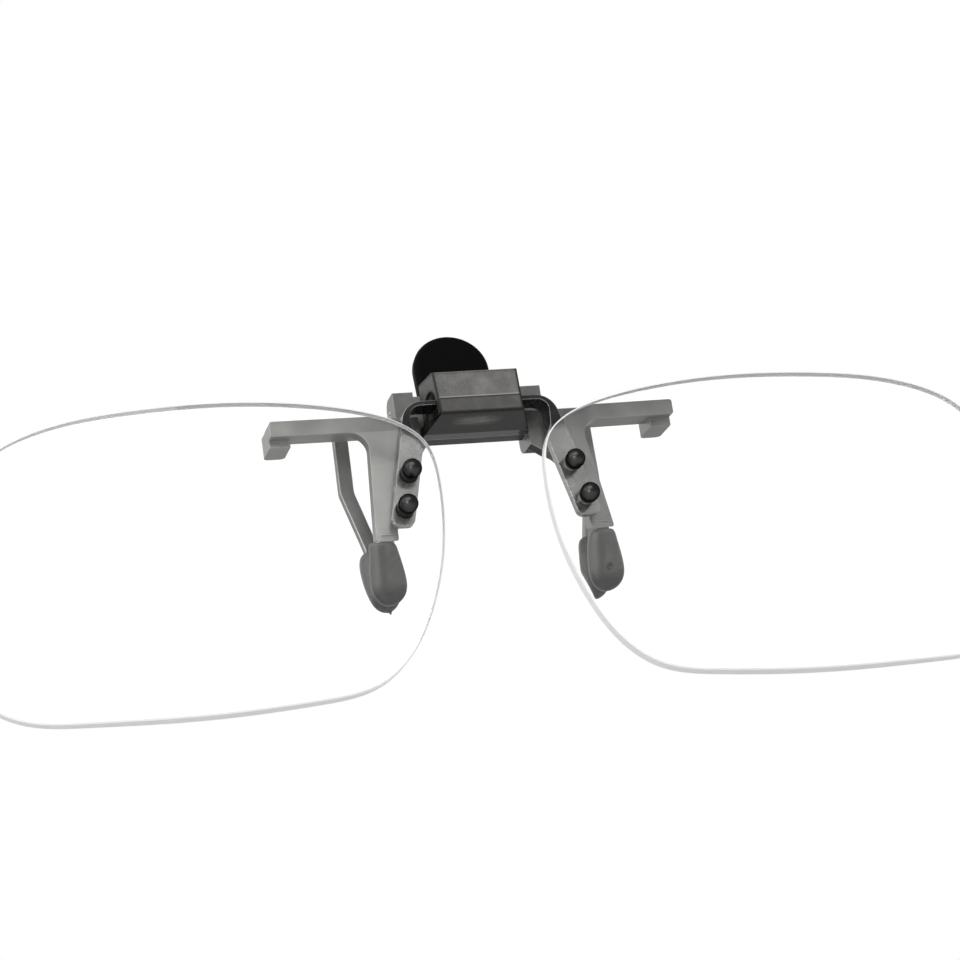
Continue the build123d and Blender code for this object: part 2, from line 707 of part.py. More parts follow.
def make_spring():
    # Torsion spring: one wire, a leg on the plate, the coil, a leg on the lever
    first_turn = pi
    last_turn = 2 * pi * spring_turns - radians(lever_lean)
    steps = spring_turns * 2
    turns = [first_turn + (last_turn - first_turn) * n / steps for n in range(steps + 1)]
    start = spring_point(turns[0], spring_coil_radius)
    end = spring_point(turns[-1], spring_coil_radius)
    edges = [Line(start - spring_heading(turns[0]) * spring_leg_length, start)]
    for here, there in zip(turns, turns[1:]):
        edges += biarc(spring_point(here, spring_coil_radius), spring_heading(here),
                       spring_point(there, spring_coil_radius), spring_heading(there))
    edges.append(Line(end, end + spring_heading(turns[-1]) * spring_lever_leg_length))
    path = Wire(edges)
    section = Plane(path @ 0, z_dir=path % 0) * RegularPolygon(spring_wire_radius, spring_wire_sides)
    points = [spring_point(first_turn + (last_turn - first_turn) * n / 400, spring_coil_radius) for n in range(401)]
    apart = 400 // (2 * spring_turns)
    least = min((p - q).length for n, p in enumerate(points) for q in points[n + apart:])
    print("least gap of the spring to itself:", round(least - 2 * spring_wire_radius, 3), "mm")
    return sweep(section, path=path)


def build():
    keep("front_jaw", make_front_jaw())
    keep("hinge_cradle", make_cradle())
    keep("hinge_cover", make_cover())
    keep("detent_spring", make_leaf())
    keep("cradle_screws", make_screws())
    keep("jaw_pin", rod_across(jaw_axis_y, jaw_axis_z, jaw_pin_radius, -ear_outer_x, ear_outer_x))
    keep("jaw_spring", make_spring())
    rear_jaw = make_rear_jaw()
    keep("rear_jaw", rear_jaw)
    keep("thumb_pad", make_thumb_pad())
    keep("lens_carrier", make_carrier())
    lens = make_lens()
    for name, side in sides:
        keep("lens_" + name, mirrored(lens, side))
        keep("front_tip_" + name, make_front_tip(side))
        keep("rear_tip_" + name, make_rear_tip(side, rear_jaw))
        for height, x, z in stud_places():
            end = height + "_" + name
            seat_y = stud_seat_y(x, z)
            hole = stud_shank_radius + fit_gap
            keep("stud_" + end, mirrored(make_stud(x, z), side))
            washer = ring_back(x, z, washer_radius, hole, seat_y - washer_thickness, seat_y)
            keep("washer_" + end, mirrored(washer, side))
            grommet = ring_back(x, z, grommet_radius, hole, seat_y, lens_rear_y)
            keep("grommet_" + end, mirrored(grommet, side))
            keep("retainer_" + end, mirrored(make_retainer(x, z), side))


build()
os.makedirs("parts", exist_ok=True)
for name, shape in parts.items():
    export_step(shape, f"parts/{name}.step")
print(len(parts), "nodes")
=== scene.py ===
from math import cos, pi, radians, sin, sqrt

import bmesh
import bpy
from mathutils import Matrix, Vector


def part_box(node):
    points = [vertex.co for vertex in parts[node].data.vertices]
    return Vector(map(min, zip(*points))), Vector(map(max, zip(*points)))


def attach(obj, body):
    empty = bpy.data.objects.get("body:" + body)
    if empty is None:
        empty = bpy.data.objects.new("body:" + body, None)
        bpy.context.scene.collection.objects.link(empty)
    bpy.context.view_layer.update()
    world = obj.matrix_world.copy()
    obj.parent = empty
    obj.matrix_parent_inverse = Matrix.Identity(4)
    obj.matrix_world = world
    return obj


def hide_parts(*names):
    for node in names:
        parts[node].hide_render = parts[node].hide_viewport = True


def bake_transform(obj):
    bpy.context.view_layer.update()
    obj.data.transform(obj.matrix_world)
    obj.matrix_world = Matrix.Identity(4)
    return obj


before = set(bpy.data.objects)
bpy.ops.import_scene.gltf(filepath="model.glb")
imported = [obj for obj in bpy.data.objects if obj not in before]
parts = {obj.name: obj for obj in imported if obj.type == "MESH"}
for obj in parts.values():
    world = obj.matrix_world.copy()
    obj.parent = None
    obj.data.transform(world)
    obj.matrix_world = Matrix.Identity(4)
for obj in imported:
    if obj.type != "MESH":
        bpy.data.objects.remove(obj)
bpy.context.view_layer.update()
mm = 0.001


# The studio. The clip hangs in front of a white backdrop over a white table. The camera side of the
# room is dim, and three softboxes light the clip: a wide one above and in front, a narrow one at
# the left, and a small one beside the camera that draws the highlights on the balls.
def from_hex(code):
    # sRGB hex to the linear colour that a shader wants
    channels = [int(code[i:i + 2], 16) / 255 for i in (0, 2, 4)]
    return [c / 12.92 if c <= 0.04045 else ((c + 0.055) / 1.055) ** 2.4 for c in channels] + [1]


def fill(node, inputs):
    # Sets or links a node's sockets, by name or in their order. A node stands for its first output,
    # and a text is a hex colour.
    in_order = [socket for socket in node.inputs if socket.enabled]
    pairs = inputs.items() if isinstance(inputs, dict) else enumerate(inputs)
    for name, value in pairs:
        socket = node.inputs[name] if isinstance(name, str) else in_order[name]
        if isinstance(value, bpy.types.Node):
            value = next(output for output in value.outputs if output.enabled)
        if isinstance(value, bpy.types.NodeSocket):
            node.id_data.links.new(value, socket)
        else:
            socket.default_value = from_hex(value) if isinstance(value, str) else value


def add(tree, kind, inputs=(), **settings):
    # Adds a node with its settings, values and links
    made = tree.nodes.new(kind)
    for name, value in settings.items():
        setattr(made, name, value)
    fill(made, inputs)
    return made


ambient_level = 0.42
dim_room_level = 0.22
backdrop_level = 1.0
through_lens_level = 1.1
room_fade = 0.25
studio = bpy.data.worlds.new("studio_room")
bpy.context.scene.world = studio
studio.use_nodes = True
room = studio.node_tree
room.nodes.clear()
toward = add(room, "ShaderNodeTexCoord")
depth = add(room, "ShaderNodeSeparateXYZ", [toward.outputs["Generated"]])
behind = add(room, "ShaderNodeMapRange", [
    depth.outputs["Y"], -room_fade, room_fade, dim_room_level, backdrop_level],
    interpolation_type="SMOOTHSTEP")
path = add(room, "ShaderNodeLightPath")
mirrored_room = add(room, "ShaderNodeMix", [path.outputs["Is Glossy Ray"], ambient_level, behind])
through_lens = add(room, "ShaderNodeMix", [
    path.outputs["Is Transmission Ray"], mirrored_room, through_lens_level])
level = add(room, "ShaderNodeMix", [path.outputs["Is Camera Ray"], through_lens, backdrop_level])
sky = add(room, "ShaderNodeBackground", ["FFFFFF", level])
add(room, "ShaderNodeOutputWorld", {"Surface": sky})


def new_material(name):
    # A material with one Principled shader, its tree and that shader
    made = bpy.data.materials.new(name)
    made.use_nodes = True
    tree = made.node_tree
    tree.nodes.clear()
    shader = add(tree, "ShaderNodeBsdfPrincipled")
    add(tree, "ShaderNodeOutputMaterial", {"Surface": shader})
    return made, tree, shader


def show(name, mesh):
    # An object of that name at the origin, which holds the mesh
    made = bpy.data.objects.new(name, mesh)
    bpy.context.collection.objects.link(made)
    return made


def new_piece(name, points, faces, material, smooth=True):
    mesh = bpy.data.meshes.new(name)
    mesh.from_pydata([tuple(p) for p in points], [], faces)
    mesh.update()
    for face in mesh.polygons:
        face.use_smooth = smooth
    mesh.materials.append(material)
    return show(name, mesh)


table_drop = 170 * mm
table_half = 1.6
table_laminate, tree, shader = new_material("white_table_laminate")
fill(shader, {"Base Color": "F0F0EE", "Roughness": 0.7})
table = new_piece("table", [
    (-table_half, -table_half, -table_drop), (table_half, -table_half, -table_drop),
    (table_half, table_half, -table_drop), (-table_half, table_half, -table_drop)],
    [(0, 1, 2, 3)], table_laminate)


def softbox(name, toward, distance, width, height, radiance):
    # Rectangular lamp that faces the clip, set by the brightness of its cloth
    light = bpy.data.lights.new(name, "AREA")
    light.shape = "RECTANGLE"
    light.size = width
    light.size_y = height
    light.energy = radiance * pi * width * height
    aim = Vector(toward).normalized()
    lamp = show(name, light)
    turned = aim.to_track_quat("Z", "Y").to_matrix().to_4x4()
    lamp.matrix_world = Matrix.Translation(aim * distance) @ turned


softbox("front_softbox", (-0.22, -0.72, 0.62), distance=0.95, width=0.85, height=0.60, radiance=2.3)
softbox("side_softbox", (-0.85, -0.30, 0.40), distance=0.90, width=0.30, height=0.60, radiance=1.8)
softbox("camera_softbox", (-0.52, -0.84, 0.02), distance=0.55, width=0.17, height=0.17, radiance=7.0)

# The photographer's camera: a long lens, low and a little to the left, turned clockwise.
# It is placed by the point midway between the two upper ball heads.
camera_azimuth = -16.0
camera_elevation = -17.613
camera_roll = -8.547
camera_distance = 415.578 * mm
image_size = 960
image_mm_pixels = 9.0
ball_midpoint = Vector((0, -7.3, 10.6)) * mm
ball_midpoint_pixel = (494.46, 462.704)
sensor_width = 36.0
azimuth, elevation, roll = (radians(a) for a in (camera_azimuth, camera_elevation, camera_roll))
back = Vector((sin(azimuth) * cos(elevation), -cos(azimuth) * cos(elevation), sin(elevation)))
level_right = Vector((cos(azimuth), sin(azimuth), 0))
level_up = back.cross(level_right)
right = level_right * cos(roll) + level_up * sin(roll)
up = level_up * cos(roll) - level_right * sin(roll)
across = (ball_midpoint_pixel[0] - image_size / 2) / image_mm_pixels * mm
upward = (image_size / 2 - ball_midpoint_pixel[1]) / image_mm_pixels * mm
eye = ball_midpoint - right * across - up * upward + back * camera_distance
view = bpy.data.cameras.new("camera")
view.sensor_fit = "HORIZONTAL"
view.sensor_width = sensor_width
view.lens = sensor_width * image_mm_pixels * camera_distance / mm / image_size
view.clip_start = 10 * mm
camera = show("camera", view)
camera.matrix_world = Matrix.Translation(eye) @ Matrix((right, up, back)).transposed().to_4x4()
bpy.context.scene.camera = camera
bpy.context.scene.view_settings.view_transform = "Standard"

# The two lenses: clear cast acrylic, edged on a wheel and drilled for the studs. The faces are
# hard-coated and polished; the rim keeps the wheel's milky satin. In the left lens the holes hold
# black sleeves, and in the right one the photograph shows nothing dark in them.
acrylic_ior = 1.49
rim_roughness = 0.3
rim_clearness = 0.12
face_roughness = 0.0
smudge_roughness = 0.015
smudge_size = 9 * mm
smudge_edge = (0.55, 0.75)
rim_facing = (0.78, 0.88)
hole_reach = 1.25 * mm
sleeve_black = "161616"
bare_wall = "8A8A8A"
far_away = 1.0
lens_acrylic, tree, shader = new_material("clear_cast_acrylic")
place = add(tree, "ShaderNodeTexCoord")
smudges = add(tree, "ShaderNodeTexNoise", {
    "Vector": place.outputs["Object"], "Scale": 1 / smudge_size, "Detail": 3.0})
polish = add(tree, "ShaderNodeMapRange", [smudges, *smudge_edge, face_roughness, smudge_roughness])
facing = add(tree, "ShaderNodeSeparateXYZ", [place.outputs["Normal"]])
flatness = add(tree, "ShaderNodeMath", [facing.outputs["Y"]], operation="ABSOLUTE")
rim = add(tree, "ShaderNodeMapRange", [flatness, *rim_facing, 1.0, 0.0])
spot = add(tree, "ShaderNodeSeparateXYZ", [place.outputs["Object"]])
outward = add(tree, "ShaderNodeMath", [spot.outputs["X"]], operation="ABSOLUTE")
flat_spot = add(tree, "ShaderNodeCombineXYZ", {"X": outward, "Z": spot.outputs["Z"]})
nearest = far_away
for height in ("upper", "lower"):
    low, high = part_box("stud_" + height + "_right")
    axis = ((low[0] + high[0]) / 2, 0, (low[2] + high[2]) / 2)
    away = add(tree, "ShaderNodeVectorMath", [flat_spot, axis], operation="DISTANCE")
    nearest = add(tree, "ShaderNodeMath", [away, nearest], operation="MINIMUM")
hole = add(tree, "ShaderNodeMath", [nearest, hole_reach], operation="LESS_THAN")
right_lens = add(tree, "ShaderNodeMath", [spot.outputs["X"], 0.0], operation="GREATER_THAN")
sleeve = add(tree, "ShaderNodeMix", [right_lens, sleeve_black, bare_wall], data_type="RGBA")
walls = add(tree, "ShaderNodeMix", [hole, "FFFFFF", sleeve], data_type="RGBA")
clear = add(tree, "ShaderNodeMix", [hole, rim_clearness, 0.0])
fill(shader, {
    "IOR": acrylic_ior,
    "Base Color": add(tree, "ShaderNodeMix", [rim, "FFFFFF", walls], data_type="RGBA"),
    "Transmission Weight": add(tree, "ShaderNodeMix", [rim, 1.0, clear]),
    "Roughness": add(tree, "ShaderNodeMix", [rim, polish, rim_roughness])})
for side in ("left", "right"):
    parts["lens_" + side].material_slots[0].material = lens_acrylic


# The front jaw: stamped and bent alloy strip, tumbled and plated gunmetal grey. Plating leaves a
# satin face with faint cloudy patches. Painted shade darkens it round the hinge, and more on faces
# turned down there; painted side light makes the left limbs a shade lighter, as the photograph shows
# it. The tumbled edges are rounded, and painted a little brighter: part wear, part painted highlight.
def edges(tree, radius, samples=8):
    # The rounded normal near an edge, and how little it bends there: 1 on a flat face
    rounded = add(tree, "ShaderNodeBevel", {"Radius": radius}, samples=samples)
    flat = add(tree, "ShaderNodeNewGeometry")
    return rounded, add(tree, "ShaderNodeVectorMath", [rounded, flat.outputs["Normal"]],
                        operation="DOT_PRODUCT")


shade_reach = 16 * mm
cloud_size = 2.5 * mm
cloud_range = (0.3, 0.7)
cloud_contrast = 0.18
satin_spread = 0.15
grit_size = 0.12 * mm
grit_depth = 0.02 * mm
edge_wear_and_highlight = (0.99, 0.88)
# Painted shade: faces turned down in the heart are darkened towards this colour
underside_painted_shade = "2A2A2A"
underside_facing = (-0.5, -0.8)


def plated_metal(name, heart, left, right, edge, along, heart_end, limb_end, roughness, edge_radius):
    # The heart's tone, a painted shade, gives way to the limbs' between two distances from the middle
    # along an axis; the limbs' tone runs from the left colour to the right one as painted side light
    made, tree, shader = new_material(name)
    place = add(tree, "ShaderNodeTexCoord")
    spot = add(tree, "ShaderNodeSeparateXYZ", [place.outputs["Object"]])
    facing = add(tree, "ShaderNodeSeparateXYZ", [place.outputs["Normal"]])
    # Painted side light: the limbs' tone changes from the left colour to the right one across the clip
    rightward = add(tree, "ShaderNodeMapRange", [spot.outputs["X"], -shade_reach, shade_reach])
    limb = add(tree, "ShaderNodeMix", [rightward, left, right], data_type="RGBA")
    downward = add(tree, "ShaderNodeMapRange", [facing.outputs["Z"], *underside_facing])
    shaded_heart = add(tree, "ShaderNodeMix", [downward, heart, underside_painted_shade], data_type="RGBA")
    offset = add(tree, "ShaderNodeMath", [spot.outputs[along]], operation="ABSOLUTE")
    outward = add(tree, "ShaderNodeMapRange", [offset, heart_end, limb_end])
    tone = add(tree, "ShaderNodeMix", [outward, shaded_heart, limb], data_type="RGBA")
    clouds = add(tree, "ShaderNodeTexNoise", {
        "Vector": place.outputs["Object"], "Scale": 1 / cloud_size, "Detail": 4.0})
    patch = add(tree, "ShaderNodeMapRange", [
        clouds, *cloud_range, 1 - cloud_contrast, 1 + cloud_contrast])
    face = add(tree, "ShaderNodeVectorMath", [tone, patch], operation="SCALE")
    satin = add(tree, "ShaderNodeMapRange", [
        clouds, *cloud_range, roughness * (1 - satin_spread), roughness * (1 + satin_spread)])
    grit = add(tree, "ShaderNodeTexNoise", {
        "Vector": place.outputs["Object"], "Scale": 1 / grit_size, "Detail": 2.0})
    rounded, bend = edges(tree, edge_radius)
    # Edges painted brighter: part wear, part painted highlight
    wear_and_highlight = add(tree, "ShaderNodeMapRange", [bend, *edge_wear_and_highlight])
    pits = add(tree, "ShaderNodeBump", {
        "Height": grit, "Strength": 0.12, "Distance": grit_depth, "Normal": rounded})
    fill(shader, {
        "Base Color": add(tree, "ShaderNodeMix", [wear_and_highlight, face, edge], data_type="RGBA"),
        "Roughness": satin, "Normal": pits, "Metallic": 0.75})
    return made


gunmetal = plated_metal(
    "gunmetal_plated_alloy", heart="7E7E7D", left="92928F", right="7E7E7C", edge="AEAEAB",
    along="X", heart_end=8.7 * mm, limb_end=9.3 * mm, roughness=0.42, edge_radius=0.12 * mm)
parts["front_jaw"].material_slots[0].material = gunmetal

# The rear jaw: the same strip, stamped and bent, but coloured darker, and with its edges painted
# bright: part wear, part painted highlight. It turns on the pin between the front jaw's ears.
dark_gunmetal = plated_metal(
    "dark_gunmetal_plated_alloy", heart="686866", left="5F5F5D", right="868683", edge="D2D2CE",
    along="X", heart_end=8.7 * mm, limb_end=9.3 * mm, roughness=0.42, edge_radius=0.25 * mm)
parts["rear_jaw"].material_slots[0].material = dark_gunmetal

# The lens carrier: one bent strip brazed to the flip shaft, plated thin and glossy. Its arch is
# painted dark as shade, and its edges are painted as bright highlight lines round the dark walls; the
# brackets stay grey.
arch_painted_shade_metal = plated_metal(
    "plated_alloy_arch_painted_shade", heart="424242", left="8D8D8B", right="868684", edge="CACAC8",
    along="Z", heart_end=15.8 * mm, limb_end=14.8 * mm, roughness=0.26, edge_radius=0.10 * mm)
parts["lens_carrier"].material_slots[0].material = arch_painted_shade_metal

# The ball-headed studs: turned steel, blackened, with a soft polish that keeps the tool's rings.
# Each goes through its lens and bracket.
ring_spacing = 1.2 * mm
ring_depth = 0.01 * mm
ball_black, tree, shader = new_material("blackened_turned_steel")
place = add(tree, "ShaderNodeTexCoord")
turning = add(tree, "ShaderNodeTexWave", {
    "Vector": place.outputs["Object"], "Scale": 1 / ring_spacing, "Distortion": 0.6}, bands_direction="Y")
rings = add(tree, "ShaderNodeBump", {
    "Height": turning.outputs["Fac"], "Strength": 0.05, "Distance": ring_depth})
fill(shader, {
    "Base Color": "4A4A4A", "Metallic": 1.0, "Specular Tint": "101010", "Roughness": 0.3, "Normal": rings})
stud_ends = [height + "_" + side for side in ("left", "right") for height in ("upper", "lower")]
for end in stud_ends:
    parts["stud_" + end].material_slots[0].material = ball_black

# Washers, grommets and push-on caps: black nylon, moulded, with a soft sheen. Washers and grommets
# keep the studs off the acrylic, and the caps hold the studs from behind.
nylon_skin_size = 0.3 * mm
nylon_roughness = (0.38, 0.55)
nylon, tree, shader = new_material("black_moulded_nylon")
place = add(tree, "ShaderNodeTexCoord")
skin = add(tree, "ShaderNodeTexNoise", {
    "Vector": place.outputs["Object"], "Scale": 1 / nylon_skin_size, "Detail": 3.0})
dull = add(tree, "ShaderNodeMapRange", [skin, 0.0, 1.0, *nylon_roughness])
fill(shader, {"Base Color": "141414", "Roughness": dull})
for end in stud_ends:
    for kind in ("washer_", "grommet_", "retainer_"):
        parts[kind + end].material_slots[0].material = nylon

# The hinge cover: moulded grey ABS with a spark-eroded grain, drawn a little coarse so that it
# shows. The band below the crown is painted darker as shade, a crisp arris divides them, drawn as a
# painted highlight line above a painted shade line, and the end faces and rounded edges are painted
# dark as shade.
split_z = 17.24 * mm
arris_z = 19.28 * mm
line_half = 0.09 * mm
arris_painted_highlight = (line_half, line_half, "9C9B96")
arris_painted_shade = (-line_half, 1.5 * line_half, "1C1C1C")
cover_split = (split_z + 3 * line_half, split_z + 2 * line_half)
grain_size = 0.16 * mm
grain_depth = 0.03 * mm
patch_size = 1.5 * mm
tint_range = (0.3, 0.7)
front_facing = (-0.7, -0.9)
end_facing = (0.1, 0.4)
end_painted_shade = 0.5
edge_shade_reach = 0.65 * mm
cover_edge_shade = (0.992, 0.965)
cover_edge_radius = 0.2 * mm
grained, tree, shader = new_material("spark_grained_abs")
place = add(tree, "ShaderNodeTexCoord")
grain = add(tree, "ShaderNodeTexNoise", {
    "Vector": place.outputs["Object"], "Scale": 1 / grain_size, "Detail": 3.0, "Roughness": 0.6})
patches = add(tree, "ShaderNodeTexNoise", {
    "Vector": place.outputs["Object"], "Scale": 1 / patch_size, "Detail": 3.0})
mottle = add(tree, "ShaderNodeMix", [patches, grain, patches])
tint = add(tree, "ShaderNodeMapRange", [mottle, *tint_range])
spot = add(tree, "ShaderNodeSeparateXYZ", [place.outputs["Object"]])
facing = add(tree, "ShaderNodeSeparateXYZ", [place.outputs["Normal"]])
crown = add(tree, "ShaderNodeMix", [tint, "4F4E4C", "797875"], data_type="RGBA")
# Painted shade: the band is a darker copy of the crown's grey, for the light it misses facing down
band = add(tree, "ShaderNodeMix", [tint, "3A3938", "5A5957"], data_type="RGBA")
rise = add(tree, "ShaderNodeMath", [spot.outputs["Z"], arris_z], operation="SUBTRACT")
above = add(tree, "ShaderNodeMapRange", [rise, -line_half, line_half])
colour = add(tree, "ShaderNodeMix", [above, band, crown], data_type="RGBA")
front = add(tree, "ShaderNodeMapRange", [facing.outputs["Y"], *front_facing])
# A painted highlight line above the arris and a painted shade line below it, on front faces
for line_z, reach, line_colour in (arris_painted_highlight, arris_painted_shade):
    off_line = add(tree, "ShaderNodeMath", [rise, line_z], operation="SUBTRACT")
    off_line = add(tree, "ShaderNodeMath", [off_line], operation="ABSOLUTE")
    line = add(tree, "ShaderNodeMapRange", [off_line, reach, 0.0])
    line = add(tree, "ShaderNodeMath", [line, front], operation="MULTIPLY")
    colour = add(tree, "ShaderNodeMix", [line, colour, line_colour], data_type="RGBA")
# Painted shade darkens the end faces
sideways = add(tree, "ShaderNodeMath", [facing.outputs["X"]], operation="ABSOLUTE")
ends = add(tree, "ShaderNodeMapRange", [sideways, *end_facing, 0.0, end_painted_shade])
colour = add(tree, "ShaderNodeMix", [ends, colour, "1E1E1E"], data_type="RGBA")
# Painted shade darkens the rounded edges
bend = edges(tree, edge_shade_reach, samples=16)[1]
painted_shade = add(tree, "ShaderNodeMapRange", [bend, *cover_edge_shade])
colour = add(tree, "ShaderNodeMix", [painted_shade, colour, "0C0C0C"], data_type="RGBA")
split = add(tree, "ShaderNodeMapRange", [spot.outputs["Z"], *cover_split])
colour = add(tree, "ShaderNodeMix", [split, colour, "060606"], data_type="RGBA")
soft_edge = add(tree, "ShaderNodeBevel", {"Radius": cover_edge_radius}, samples=8)
bumps = add(tree, "ShaderNodeBump", {
    "Height": grain, "Strength": 0.5, "Distance": grain_depth, "Normal": soft_edge})
fill(shader, {"Base Color": colour, "Normal": bumps, "Roughness": 0.5})
parts["hinge_cover"].material_slots[0].material = grained

# The hinge cradle: the same ABS from a polished mould, almost black, with the faint ripple that
# shrinkage leaves, a painted highlight streak across the front and rounded edges painted dark as shade.
streak_x = -0.4 * mm
streak_z = 16.75 * mm
streak_half_height = 0.28 * mm
streak_fade = (3.2 * mm, 0.8 * mm)
streak_noise_size = 0.35 * mm
streak_noise_stretch = (0.12, 1.0, 1.0)
streak_noise_range = (0.35, 0.65)
ripple_size = 2.2 * mm
ripple_depth = 0.08 * mm
cradle_roughness = (0.14, 0.26)
cradle_edge_radius = 0.15 * mm
cradle_edge_shade = (0.985, 0.90)
cradle_split = (split_z - 2 * line_half, split_z - line_half)
polished, tree, shader = new_material("polished_black_abs")
place = add(tree, "ShaderNodeTexCoord")
spot = add(tree, "ShaderNodeSeparateXYZ", [place.outputs["Object"]])
ripple = add(tree, "ShaderNodeTexNoise", {
    "Vector": place.outputs["Object"], "Scale": 1 / ripple_size, "Detail": 2.0})
long_spot = add(tree, "ShaderNodeVectorMath", [
    place.outputs["Object"], streak_noise_stretch], operation="MULTIPLY")
streak_noise = add(tree, "ShaderNodeTexNoise", {"Vector": long_spot, "Scale": 1 / streak_noise_size, "Detail": 3.0})
# Painted highlight: a pale streak across the front, broken up by the streaky noise
off_height = add(tree, "ShaderNodeMath", [spot.outputs["Z"], streak_z], operation="SUBTRACT")
off_height = add(tree, "ShaderNodeMath", [off_height], operation="ABSOLUTE")
streak_height = add(tree, "ShaderNodeMapRange", [off_height, streak_half_height, 0.0])
off_middle = add(tree, "ShaderNodeMath", [spot.outputs["X"], streak_x], operation="SUBTRACT")
off_middle = add(tree, "ShaderNodeMath", [off_middle], operation="ABSOLUTE")
streak_length = add(tree, "ShaderNodeMapRange", [off_middle, *streak_fade])
streak = add(tree, "ShaderNodeMath", [streak_height, streak_length], operation="MULTIPLY")
streak = add(tree, "ShaderNodeMath", [streak, streak_noise], operation="MULTIPLY")
tone_and_rim_highlight = add(tree, "ShaderNodeMapRange", [streak_noise, *streak_noise_range])
colour = add(tree, "ShaderNodeMix", [tone_and_rim_highlight, "151515", "232323"], data_type="RGBA")
colour = add(tree, "ShaderNodeMix", [streak, colour, "8A8A88"], data_type="RGBA")
soft_edge, bend = edges(tree, cradle_edge_radius)
# Painted shade darkens the rounded edges
painted_shade = add(tree, "ShaderNodeMapRange", [bend, *cradle_edge_shade])
colour = add(tree, "ShaderNodeMix", [painted_shade, colour, "050505"], data_type="RGBA")
split = add(tree, "ShaderNodeMapRange", [spot.outputs["Z"], *cradle_split])
colour = add(tree, "ShaderNodeMix", [split, colour, "030303"], data_type="RGBA")
wave = add(tree, "ShaderNodeBump", {
    "Height": ripple, "Strength": 0.35, "Distance": ripple_depth, "Normal": soft_edge})
gloss = add(tree, "ShaderNodeMapRange", [ripple, 0.0, 1.0, *cradle_roughness])
fill(shader, {"Base Color": colour, "Normal": wave, "Roughness": gloss})
parts["hinge_cradle"].material_slots[0].material = polished

# Pin, leaf spring and screws: drawn and turned spring steel, bright, with fine drawing marks. The
# pin is pushed through the ears, and the screws come from behind the front jaw's plate.
mark_size = 0.2 * mm
steel_roughness = (0.22, 0.38)
steel, tree, shader = new_material("drawn_spring_steel")
place = add(tree, "ShaderNodeTexCoord")
marks = add(tree, "ShaderNodeTexNoise", {
    "Vector": place.outputs["Object"], "Scale": 1 / mark_size, "Detail": 2.0})
dull = add(tree, "ShaderNodeMapRange", [marks, 0.0, 1.0, *steel_roughness])
fill(shader, {"Base Color": "B9B8B4", "Metallic": 1.0, "Roughness": dull})
for name in ("jaw_pin", "jaw_spring", "detent_spring", "cradle_screws"):
    parts[name].material_slots[0].material = steel

# The jaw spring: one drawn wire wound in three turns round the pin. Its mesh is welded into one
# smooth wire that stands in for the part.
weld_distance = 0.001 * mm
wound = bmesh.new()
wound.from_mesh(parts["jaw_spring"].data)
bmesh.ops.remove_doubles(wound, verts=wound.verts, dist=weld_distance)
wire = bpy.data.meshes.new("jaw_spring_wire")
wound.to_mesh(wire)
wound.free()
for face in wire.polygons:
    face.use_smooth = True
wire.materials.append(steel)
spring = show("jaw_spring_wire", wire)
low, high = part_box("jaw_pin")
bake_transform(spring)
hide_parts("jaw_spring")

# The thumb pad: black rubber, compression moulded, dead matt, with its rim painted lighter as a
# highlight. It covers the end of the rear jaw's lever.
pore_size = 0.25 * mm
pore_depth = 0.02 * mm
pad_edge_radius = 0.15 * mm
pad_rim_highlight = (0.99, 0.9)
pad_roughness = (0.55, 0.7)
rubber, tree, shader = new_material("black_moulded_rubber")
place = add(tree, "ShaderNodeTexCoord")
dust = add(tree, "ShaderNodeTexNoise", {
    "Vector": place.outputs["Object"], "Scale": 1 / pore_size, "Detail": 4.0})
soft_edge, bend = edges(tree, pad_edge_radius)
# Painted highlight: the rim is coloured lighter than the face
tone_and_rim_highlight = add(tree, "ShaderNodeMapRange", [bend, *pad_rim_highlight])
pores = add(tree, "ShaderNodeBump", {
    "Height": dust, "Strength": 0.2, "Distance": pore_depth, "Normal": soft_edge})
fill(shader, {
    "Base Color": add(tree, "ShaderNodeMix", [tone_and_rim_highlight, "020202", "303030"], data_type="RGBA"),
    "Roughness": add(tree, "ShaderNodeMapRange", [dust, 0.0, 1.0, *pad_roughness]),
    "Normal": pores, "Specular IOR Level": 0.08})
parts["thumb_pad"].material_slots[0].material = rubber

# The four tips: smoke-grey silicone sleeves, injection moulded and pushed on to the legs' pegs.
# Each is a soft rounded pad that narrows towards the rear; the right rear toe is cut to a point.
# The rubber is a little cloudy. A painted highlight band lightens each tip's left flank and a
# painted shade band darkens it beside that; the dimple holds painted shade, and the tips get darker towards
# the toe.
haze_size = 0.6 * mm
haze_depth = 0.03 * mm
haze_range = (0.35, 0.65)
toe_fade = (-2.3 * mm, -1.0 * mm)
# Each band's middle across the tip, where it ends and where it is full, its strength and colour
painted_highlight_band = (-1.65 * mm, 0.75 * mm, 0.35 * mm, 1.0, "626260")
painted_shade_band = (-0.65 * mm, 0.65 * mm, 0.15 * mm, 0.7, "3C3C3A")
front_tip_lean = 17.5
front_tip_turn = Matrix.Rotation(radians(front_tip_lean), 4, "X")
front_tip_middle = Vector((12.75, -1.365, 0.172))
dimple_spot = (0.22, -0.85)
dimple_face = -1.1
dimple_radius = 0.48
dimple_depth = 0.28
dimple_middle = Vector((dimple_spot[0], dimple_face, dimple_spot[1]))
dimple_place = (front_tip_turn @ dimple_middle + front_tip_middle) * mm
dimple_painted_shade = (0.52 * mm, 0.40 * mm)
silicone, tree, shader = new_material("smoke_grey_silicone")
place = add(tree, "ShaderNodeTexCoord")
haze = add(tree, "ShaderNodeTexNoise", {
    "Vector": place.outputs["Object"], "Scale": 1 / haze_size, "Detail": 3.0})
spot = add(tree, "ShaderNodeSeparateXYZ", [place.outputs["Object"]])
cloudiness = add(tree, "ShaderNodeMapRange", [haze, *haze_range])
colour = add(tree, "ShaderNodeMix", [cloudiness, "4C4C4A", "5C5C5A"], data_type="RGBA")
